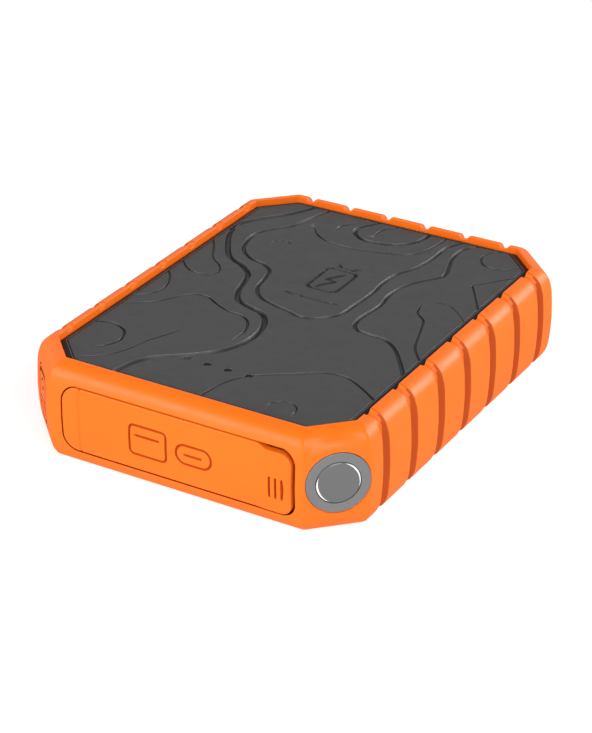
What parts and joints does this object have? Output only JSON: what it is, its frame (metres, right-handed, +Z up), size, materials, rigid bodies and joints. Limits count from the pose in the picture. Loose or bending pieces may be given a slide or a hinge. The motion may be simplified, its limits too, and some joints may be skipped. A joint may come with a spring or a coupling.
{
  "type": "rugged power bank",
  "caption": "Rugged pocket battery pack in a grooved orange rubber bumper, with a hinged door over its charging sockets, a corner torch and a press button.",
  "frame": {"origin": "middle of the footprint, on the surface the pack lies on", "axes": "+Z up through the dark lid; -Y out of the face with the socket door; +X to the right when facing that door, towards the torch corner"},
  "size_m": [0.1014, 0.13, 0.0278],
  "materials": {
    "bezel_metal": "bead-blasted, grey anodised",
    "board_laminate": "green solder mask on glass laminate",
    "capacitor_can": "aluminium can",
    "cell_pouch": "aluminium laminate pouch",
    "chip_epoxy": "black epoxy",
    "ferrite": "moulded ferrite",
    "foam": "closed-cell foam",
    "frame_plastic": "black moulded plastic",
    "gasket_silicone": "silicone cord",
    "led_board_metal": "white solder mask on aluminium",
    "led_phosphor": "yellow phosphor under silicone",
    "led_white": "white chip package",
    "lens_clear": "moulded clear plastic over a grey reflector",
    "lid_plastic": "dark grey moulded plastic, satin with a fine grain",
    "light_pipe": "smoked clear plastic",
    "nickel": "nickel strip",
    "o_ring_rubber": "nitrile rubber",
    "orange_tpu": "matt thermoplastic rubber, fine moulded grain",
    "orange_tpu_button": "matt thermoplastic rubber",
    "orange_tpu_door": "matt thermoplastic rubber",
    "orange_tpu_tab": "matt thermoplastic rubber",
    "port_steel": "nickel-plated steel sheet",
    "reflector_metal": "vacuum-metallised",
    "screw_steel": "black zinc",
    "seal_rubber": "soft moulded seal",
    "stem_plastic": "natural acetal",
    "switch_plastic": "black moulded switch body",
    "tongue_black": "black moulded plastic with contacts",
    "tongue_plastic": "white moulded plastic with contacts",
    "tub_plastic": "dark grey moulded plastic",
    "wire_black": "insulated stranded wire",
    "wire_red": "insulated stranded wire"
  },
  "bodies": {
    "housing": {"battery_lead_negative": "wire_black", "battery_lead_positive": "wire_red", "board_screws": "screw_steel", "boost_converter_chip": "chip_epoxy", "bottom_shell": "tub_plastic", "bumper": "orange_tpu", "button_board": "board_laminate", "button_switch": "switch_plastic", "cell_foam_lower": "foam", "cell_foam_middle": "foam", "cell_foam_upper": "foam", "cell_lower": "cell_pouch", "cell_tabs": "nickel", "cell_upper": "cell_pouch", "charge_controller_chip": "chip_epoxy", "charge_led_1": "led_white", "charge_led_2": "led_white", "charge_led_3": "led_white", "charge_led_4": "led_white", "door_hinge_tab": "orange_tpu_tab", "led_light_pipe_1": "light_pipe", "led_light_pipe_2": "light_pipe", "led_light_pipe_3": "light_pipe", "led_light_pipe_4": "light_pipe", "main_board": "board_laminate", "port_frame": "frame_plastic", "power_inductor": "ferrite", "protection_board": "board_laminate", "shell_gasket": "gasket_silicone", "shell_screws": "screw_steel", "storage_capacitors": "capacitor_can", "top_shell": "lid_plastic", "torch_bezel": "bezel_metal", "torch_lead_negative": "wire_black", "torch_lead_positive": "wire_red", "torch_led": "led_phosphor", "torch_led_board": "led_board_metal", "torch_lens": "lens_clear", "torch_o_ring": "o_ring_rubber", "torch_reflector": "reflector_metal", "usb_a_port_1": "port_steel", "usb_a_port_2": "port_steel", "usb_a_tongue_1": "tongue_plastic", "usb_a_tongue_2": "tongue_plastic", "usb_c_port": "port_steel", "usb_c_tongue": "tongue_black"},
    "door": {"usb_door": "orange_tpu_door", "door_seal": "seal_rubber"},
    "button": {"torch_button": "orange_tpu_button", "button_stem": "stem_plastic", "switch_actuator": "stem_plastic"}
  },
  "joints": [
    {"name": "usb_door_hinge", "type": "hinge", "parent": "housing", "child": "door", "pos_m": [-0.0285, -0.065, 0.0134], "axis": [0, 0, -1], "range_deg": [0, 140]},
    {"name": "torch_button_press", "type": "slide", "parent": "housing", "child": "button", "axis": [0.7071, 0.7071, 0], "range_m": [0, 0.0008], "stiffness_N_per_m": 1500}
  ]
}
